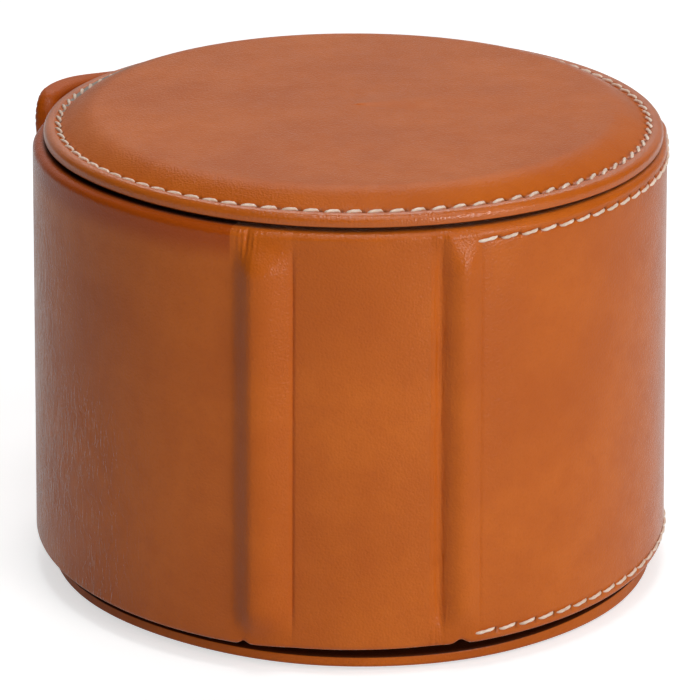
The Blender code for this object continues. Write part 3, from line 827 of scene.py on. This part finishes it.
THICK = TONGUE_OUT - TONGUE_IN
DEGREES_PER_MM = 180 / math.pi / TONGUE_OUT
CORNER_START = TONGUE_END - TONGUE_CORNER * DEGREES_PER_MM
PLEATS = np.radians(np.array([8, 22, 37, 52, 67, 82]))
PLEAT_DEPTH = 0.20
# The pleats' grooves are painted dark as shade.
PLEAT_SHADE = 0.6


def tongue_root():
    """Leather from the cover's end up and over the fixed half to the tongue."""
    angles = lines(FLAP_END, TONGUE_START, 0.5)
    share = ease((angles - FLAP_END) / (TONGUE_START - FLAP_END))
    thick = 1.1 + 1.6 * ease((angles - 164) / 2)
    outer = WRAP + (TONGUE_OUT - WRAP) * share
    low = LOW + (TONGUE_LOW - LOW) * share
    high = HIGH + (TONGUE_HIGH - HIGH) * share
    rolls = np.radians(np.arange(0, 181, 15))
    half = thick / 2
    parts = np.linspace(0, 1, 28)[1:-1]
    columns = [(outer - half - half * math.cos(roll), low + half * (1 - math.sin(roll))) for roll in rolls]
    columns += [(outer, low + half + (high - low - thick) * part) for part in parts]
    for roll in rolls[::-1]:
        columns.append((outer - half - half * math.cos(roll), high - half * (1 - math.sin(roll))))
    columns += [(outer - thick, low + half + (high - low - thick) * part) for part in parts[::-1]]
    sections = np.stack([around(angles, radius, height) for radius, height in columns], axis=1)
    u = np.broadcast_to(np.radians(angles)[:, None] * WRAP * MM, sections.shape[:2])
    return loft("tongue_root_skin", sections, plain_leather, np.stack([u, sections[..., 2] * MM], -1))


def swell_tongue(piece):
    """Lifts the tongue's upper corner up and outwards, where its turned edge is thick with pleats."""
    flat = np.empty(len(piece.data.vertices) * 3)
    piece.data.vertices.foreach_get("co", flat)
    spots = flat.reshape(-1, 3) / MM
    angle = np.degrees(np.arctan2(spots[:, 0], -spots[:, 1])) % 360
    reach = np.hypot(spots[:, 0], spots[:, 1])
    high = ease((spots[:, 2] - 60) / 9)
    share = bell(angle, 246, np.where(angle < 246, 15, 9)) * high
    outwards = share * ease((reach - TONGUE_IN) / 1.5) * 1.25
    spots[:, :2] *= ((reach + outwards) / reach)[:, None]
    spots[:, 2] += 2.35 * share + 1.7 * bell(angle, 255, 4.5) * high - 0.7 * high
    piece.data.vertices.foreach_set("co", (spots * MM).ravel())
    return piece


def tidy(obj):
    """Joins the points that meet at the corners and turns every face outwards."""
    work = bmesh.new()
    work.from_mesh(obj.data)
    bmesh.ops.remove_doubles(work, verts=work.verts, dist=1e-6)
    bmesh.ops.dissolve_degenerate(work, edges=work.edges, dist=1e-7)
    bmesh.ops.recalc_face_normals(work, faces=work.faces)
    work.to_mesh(obj.data)
    work.free()


def tongue_rings(straight, arc, ends):
    """Rings along the tongue's outline that roll over its edge: (points, painted shade in the pleat grooves,
    how many rings).
    """
    half = THICK / 2
    low = TONGUE_LOW + TONGUE_CORNER
    high = TONGUE_HIGH - TONGUE_CORNER
    # Each outline point is (angle, height, across, down), from which the rings lie outwards and down.
    outline = [(angle, low, 0.0, 1.0) for angle in straight]
    outline += [(CORNER_START, low, math.sin(turn), math.cos(turn)) for turn in arc]
    outline += [(CORNER_START, height, 1.0, 0.0) for height in ends]
    outline += [(CORNER_START, high, math.cos(turn), -math.sin(turn)) for turn in arc]
    outline += [(angle, high, 0.0, -1.0) for angle in straight[::-1][1:]]
    angle, height, across, down = np.array(outline).T
    turn = np.arctan2(np.abs(across), np.abs(down))
    groove = np.exp(-(((turn[:, None] - PLEATS) / 0.045) ** 2)).max(axis=1) * ((across != 0) & (down != 0))
    rolls = np.radians(np.arange(0, 181, 15))
    rings = [(4.4, TONGUE_IN), (3.0, TONGUE_IN)]
    rings += [(half * (1 - math.sin(roll)), TONGUE_IN + half - half * math.cos(roll)) for roll in rolls]
    rings += [(inset, TONGUE_OUT) for inset in (1.8, 2.3, 2.6, 2.8, 3.0, 3.2, 3.4, 3.7, 4.3, 4.9, 5.5)]
    points = []
    dark = []
    for inset, radius in rings:
        reach = TONGUE_CORNER - inset
        outside = radius > TONGUE_IN + half - 0.5
        pleat = groove * math.exp(-(((inset - 2.2) / 1.5) ** 2)) * outside
        place = angle + reach * across * DEGREES_PER_MM
        points.append(around(place, radius - PLEAT_DEPTH * pleat, height - reach * down))
        # Painted shade in the pleat grooves.
        dark.append(PLEAT_SHADE * pleat)
    return np.concatenate(points), np.concatenate(dark), len(rings)


def tongue_skin():
    """The tongue's leather, rolled over its edge and pleated at the corners, hollow for its lining."""
    straight = lines(TONGUE_START, CORNER_START, 1.0)
    arc = np.radians(np.linspace(0, 90, 43)[1:])
    up_count = 26
    levels = np.linspace(TONGUE_LOW + TONGUE_CORNER, TONGUE_HIGH - TONGUE_CORNER, up_count)
    points, dark, ring_count = tongue_rings(straight, arc, levels[1:])
    width = len(points) // ring_count
    faces = grid_faces(ring_count, width)
    # The field inside the last ring is a plain grid whose rim is that ring.
    last = (ring_count - 1) * width
    across_count = len(straight)
    rim = {}
    for i in range(across_count):
        rim[i, 0] = last + i
        rim[i, up_count - 1] = last + width - 1 - i
    for j in range(1, up_count):
        rim[across_count - 1, j] = last + across_count - 1 + len(arc) + j
    field = []
    for i in range(across_count):
        for j in range(up_count):
            if (i, j) not in rim:
                rim[i, j] = len(points) + len(field)
                field.append(around(straight[i], TONGUE_OUT, levels[j]))
    for i in range(across_count - 1):
        for j in range(up_count - 1):
            faces.append((rim[i, j], rim[i, j + 1], rim[i + 1, j + 1], rim[i + 1, j]))
    # The turned edge ends inside at a wall, which leaves the hollow.
    wall = points[:width].copy()
    wall[:, :2] *= ((TONGUE_OUT - 0.9) / np.hypot(wall[:, 0], wall[:, 1]))[:, None]
    back = len(points) + len(field)
    for k in range(width - 1):
        faces.append((k, k + 1, back + k + 1, back + k))
    faces.append(tuple(range(back, back + width))[::-1])
    end_loop = [r * width for r in range(ring_count)] + [rim[0, j] for j in range(1, up_count - 1)]
    end_loop += [r * width + width - 1 for r in range(ring_count)][::-1] + [back + width - 1, back]
    faces.append(tuple(end_loop))
    flat = np.concatenate([points, field, wall])
    dark = np.concatenate([dark, np.zeros(len(field) + width)])
    turn = np.mod(np.arctan2(flat[:, 0], -flat[:, 1]), 2 * np.pi)
    uv = np.stack([turn * WRAP * MM, flat[:, 2] * MM], -1)
    made = build("tongue_skin", flat, faces, tongue_leather, uv, dark)
    tidy(made)
    return swell_tongue(made)


def tongue_run():
    """Stitches round the tongue, evenly spaced along a line that is inset from its edge."""
    gap = 0.22
    slant = 0.2
    corner = TONGUE_CORNER - TONGUE_SEAM_INSET
    run = [(a, TONGUE_LOW + TONGUE_SEAM_INSET) for a in lines(TONGUE_START + 1.0, CORNER_START, 0.5)]
    for turn in np.radians(np.linspace(0, 90, 15)[1:]):
        across = CORNER_START + corner * math.sin(turn) * DEGREES_PER_MM
        run.append((across, TONGUE_LOW + TONGUE_CORNER - corner * math.cos(turn)))
    over = [(a, LOW + HIGH - z) for a, z in run[::-1]]
    upright = [(run[-1][0], z) for z in lines(run[-1][1], over[0][1], 0.5)[1:-1]]
    run = np.array(run + upright + over)
    flat = np.stack([np.radians(run[:, 0]) * TONGUE_OUT, run[:, 1]], -1)
    length = np.concatenate([[0], np.cumsum(np.linalg.norm(np.diff(flat, axis=0), axis=1))])
    count = int(length[-1] // STITCH_PITCH)
    pitch = length[-1] / count

    def on_line(where):
        return np.stack([np.interp(where, length, flat[:, 0]), np.interp(where, length, flat[:, 1])], -1)

    def beside(where, sideways):
        ahead = on_line(where + 0.1) - on_line(where - 0.1)
        ahead /= np.hypot(ahead[:, 0], ahead[:, 1])[:, None]
        spot = on_line(where) + sideways * np.stack([-ahead[:, 1], ahead[:, 0]], -1)
        return np.degrees(spot[:, 0] / TONGUE_OUT), spot[:, 1]

    a0, z0 = beside(np.arange(count) * pitch + gap, -slant)
    a1, z1 = beside((np.arange(count) + 1) * pitch - gap, slant)
    normals = around((a0 + a1) / 2, 1.0, 0.0)
    starts = around(a0, TONGUE_OUT, z0)
    ends = around(a1, TONGUE_OUT, z1)
    return swell_tongue(stitches("tongue_stitches", starts, ends, normals))


root_skin = tongue_root()
tongue = tongue_skin()
tongue_thread = tongue_run()
tongue_suede = curved_panel(
    "tongue_suede", 168.0, TONGUE_END - 1.6, 51.85, 52.4, TONGUE_LOW + 1.8, TONGUE_HIGH - 1.8, suede
)


# Cushion


CUSHION_LOW = 6.8
CUSHION_HIGH = 69.15
CUSHION_HALF_X = 25.1
CUSHION_HALF_Y = 29.1
CUSHION_ROUND = 5.5


def cushion_outline(count=96):
    """A rounded oval, between an ellipse and a rectangle."""
    turn = np.linspace(0, 2 * np.pi, count, endpoint=False)
    power = 2 / 2.6
    x = CUSHION_HALF_X * np.sign(np.cos(turn)) * np.abs(np.cos(turn)) ** power
    y = CUSHION_HALF_Y * np.sign(np.sin(turn)) * np.abs(np.sin(turn)) ** power
    return np.stack([x, y], -1)


def cushion_body():
    """A padded oval roll: fullest in the middle, gathered over its ends, with a joining seam at the back."""
    middle = (CUSHION_LOW + CUSHION_HIGH) / 2
    half = (CUSHION_HIGH - CUSHION_LOW) / 2
    edge = half - CUSHION_ROUND
    rings = []
    for turn in np.radians(np.arange(90, 0, -10)):
        rings.append((-edge - CUSHION_ROUND * math.sin(turn), CUSHION_ROUND * (1 - math.cos(turn)) * 0.9))
    body = rings + [(away, 0.0) for away in lines(-edge, edge, 1.5)]
    body += [(-away, drawn) for away, drawn in rings[::-1]]
    base = cushion_outline()
    unit = base / np.linalg.norm(base, axis=1, keepdims=True)
    turn = np.arctan2(base[:, 1], base[:, 0])
    from_back = np.mod(turn - math.pi / 2 + math.pi, 2 * np.pi) - math.pi
    seam = 0.45 * np.exp(-((from_back / 0.018) ** 2))
    sections = []
    for away, drawn in body:
        size = drawn + 0.8 * (away / half) ** 2
        ripple = 0.16 * math.exp(-(((half - abs(away) - 4.0) / 3.5) ** 2)) * np.sin(turn * 23 + away)
        ring = base - unit * (size + seam - ripple)[:, None]
        sections.append(np.concatenate([ring, np.full((len(ring), 1), middle + away)], axis=1))
    return loft("cushion_cover", np.array(sections), cushion_suede, sharp=70)


cushion = cushion_body()

bottom_disc = lining_disc("bottom_suede_disc", 5.9)
top_disc = lining_disc("top_suede_disc", 69.5)


# Which piece moves with what, and which of the part's own pieces are hidden

for piece in (shell, shell_lining, shell_foam, bottom_disc, top_disc, *caps["bottom"], *caps["top"]):
    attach(piece, "root")
for piece in (spine, spine_lining):
    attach(piece, "spine")
for piece in (flap, flap_lining, flap_foam, flap_top, flap_bottom):
    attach(piece, "flap")
for piece in (tongue, tongue_thread, tongue_suede):
    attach(piece, "tongue")
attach(cushion, "cushion")


def spot(angle, radius):
    return tuple(float(v) * 0.001 for v in around(angle, radius, MIDDLE))


spot(FRONT_START, 49.0)
spot(FRONT_END, 49.0)
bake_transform(front_fold)
spot(FRONT_START, 46.4)
spot(FRONT_END, 46.4)
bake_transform(front_lining)
spot(SIDE_START, 49.0)
spot(SIDE_END, 49.0)
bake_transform(side_fold)
spot(SIDE_START, 46.4)
spot(SIDE_END, 46.4)
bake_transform(side_lining)
spot(FLAP_END, 52.0)
spot(TONGUE_START, 52.0)
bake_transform(root_skin)

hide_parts("shell_leather")
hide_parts("shell_lining")
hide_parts("shell_padding")
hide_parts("front_fold")
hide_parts("front_fold_lining")
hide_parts("spine_leather")
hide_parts("spine_lining")
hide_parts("side_fold")
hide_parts("side_fold_lining")
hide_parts("flap_leather")
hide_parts("flap_lining")
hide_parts("flap_padding")
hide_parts("flap_top_stitching")
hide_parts("flap_bottom_stitching")
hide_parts("tongue_leather")
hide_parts("tongue_stitching")
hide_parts("tongue_lining")
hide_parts("bottom_lining_disc")
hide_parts("top_lining_disc")
for side in ("bottom", "top"):
    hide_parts(side + "_cap_cover")
    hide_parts(side + "_cap_stitching")
    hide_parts(side + "_cap_padding")
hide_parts("cushion_sleeve", "cushion_core", "cushion_bottom_end", "cushion_top_end")

# The boards, the magnet and its keeper show their CAD solids.
board_nodes = [
    "top_cap_board", "bottom_cap_board", "top_plug_board", "bottom_plug_board", "shell_board", "spine_board",
    "flap_board", "tongue_stiffener",
]
steel_nodes = ["tongue_magnet", "shell_keeper"]
for names, look in ((board_nodes, board), (steel_nodes, steel)):
    for name in names:
        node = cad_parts[name]
        node.data.materials.clear()
        node.data.materials.append(look)


# Floor, light and camera


FLOOR_HALF = 6.0
FLOOR_SHADE = 0.7
FLOOR_GLOW = 0.62
FLOOR_GLOSS = 0.22
SKY = 0.02


def floor_look():
    """A pale floor that glows for camera and, faintly, glossy rays, and keeps the object's shadow."""
    look = bpy.data.materials.new("floor")
    look.use_nodes = True
    nodes = look.node_tree.nodes
    links = look.node_tree.links
    nodes.clear()
    out = nodes.new("ShaderNodeOutputMaterial")
    diffuse = nodes.new("ShaderNodeBsdfDiffuse")
    diffuse.inputs["Color"].default_value = (FLOOR_SHADE, FLOOR_SHADE, FLOOR_SHADE, 1)
    glow = nodes.new("ShaderNodeEmission")
    glow.inputs["Color"].default_value = (1, 1, 1, 1)
    path = nodes.new("ShaderNodeLightPath")
    seen = nodes.new("ShaderNodeMath")
    seen.operation = "MULTIPLY"
    seen.inputs[1].default_value = FLOOR_GLOW
    mirrored = nodes.new("ShaderNodeMath")
    mirrored.operation = "MULTIPLY_ADD"
    mirrored.inputs[1].default_value = FLOOR_GLOSS
    both = nodes.new("ShaderNodeAddShader")
    links.new(path.outputs["Is Camera Ray"], seen.inputs[0])
    links.new(path.outputs["Is Glossy Ray"], mirrored.inputs[0])
    links.new(seen.outputs[0], mirrored.inputs[2])
    links.new(mirrored.outputs[0], glow.inputs["Strength"])
    links.new(diffuse.outputs[0], both.inputs[0])
    links.new(glow.outputs[0], both.inputs[1])
    links.new(both.outputs[0], out.inputs["Surface"])
    return look


def stage_floor():
    h = FLOOR_HALF
    data = bpy.data.meshes.new("floor")
    data.from_pydata([(-h, -h, 0), (h, -h, 0), (h, h, 0), (-h, h, 0)], [], [(0, 1, 2, 3)])
    data.materials.append(floor_look())
    obj = bpy.data.objects.new("floor", data)
    bpy.context.collection.objects.link(obj)


def studio_sky():
    world = bpy.data.worlds.new("studio")
    bpy.context.scene.world = world
    world.use_nodes = True
    background = world.node_tree.nodes["Background"]
    background.inputs["Color"].default_value = (1.0, 1.0, 1.0, 1.0)
    background.inputs["Strength"].default_value = SKY


def area(name, azimuth, elevation, distance, size, power):
    """A soft box at an azimuth from the front and an elevation, in degrees, aimed at the drum's middle."""
    data = bpy.data.lights.new(name, "AREA")
    data.shape = "RECTANGLE"
    data.size, data.size_y = size
    data.energy = power
    obj = bpy.data.objects.new(name, data)
    turn = math.radians(azimuth)
    rise = math.radians(elevation)
    back = np.array([math.sin(turn) * math.cos(rise), -math.cos(turn) * math.cos(rise), math.sin(rise)])
    right = np.cross([0, 0, 1], back)
    right /= np.linalg.norm(right)
    obj.location = tuple(np.array([0, 0, 0.038]) + back * distance)
    obj.rotation_euler = Matrix((right, np.cross(back, right), back)).transposed().to_euler()
    bpy.context.collection.objects.link(obj)


stage_floor()
studio_sky()
area("key", 42, 11, 1.1, (0.42, 0.34), 4.7)
area("front", 0, 50, 1.1, (0.6, 0.6), 2.0)
area("right", 45, 50, 1.1, (0.6, 0.6), 1.8)
area("top", 10, 80, 1.1, (0.28, 0.28), 2.6)
area("behind", 180, 50, 1.1, (0.6, 0.6), 2.9)
area("back", 180, 26, 1.3, (2.2, 1.2), 3.6)

# The camera, found from the photo's outline: distances in metres, the lens in millimetres, turns in degrees.
CAMERA_DISTANCE = 13.1323 * CAP_RADIUS * MM
CAMERA_LIFT = 20.2408
CAMERA_AIM = 0.7227 * CAP_RADIUS * MM + 0.0009
CAMERA_YAW = -0.0395
CAMERA_PITCH = -0.1528
CAMERA_ROLL = 0.2018
CAMERA_LENS = 204.69


def camera():
    lift = math.radians(CAMERA_LIFT)
    yaw = math.radians(CAMERA_YAW)
    pitch = math.radians(CAMERA_PITCH)
    roll = math.radians(CAMERA_ROLL)
    centre = (0, -CAMERA_DISTANCE * math.cos(lift), CAMERA_DISTANCE * math.sin(lift) + CAMERA_AIM)
    forward = np.array([0, math.cos(lift), -math.sin(lift)])
    right = np.array([1.0, 0, 0])
    up = np.cross(right, forward)
    level = forward * math.cos(yaw) + right * math.sin(yaw)
    forward = level * math.cos(pitch) + up * math.sin(pitch)
    right = np.cross(forward, up)
    right /= np.linalg.norm(right)
    up = np.cross(right, forward)
    turned_right = right * math.cos(roll) + up * math.sin(roll)
    turned_up = up * math.cos(roll) - right * math.sin(roll)
    data = bpy.data.cameras.new("camera")
    data.sensor_width = 36.0
    data.lens = CAMERA_LENS
    data.clip_start = 0.01
    obj = bpy.data.objects.new("camera", data)
    matrix = Matrix.Identity(4)
    for row in range(3):
        matrix[row] = (turned_right[row], turned_up[row], -forward[row], centre[row])
    obj.matrix_world = matrix
    bpy.context.collection.objects.link(obj)
    bpy.context.scene.camera = obj


camera()
bpy.context.scene.view_settings.view_transform = "Standard"
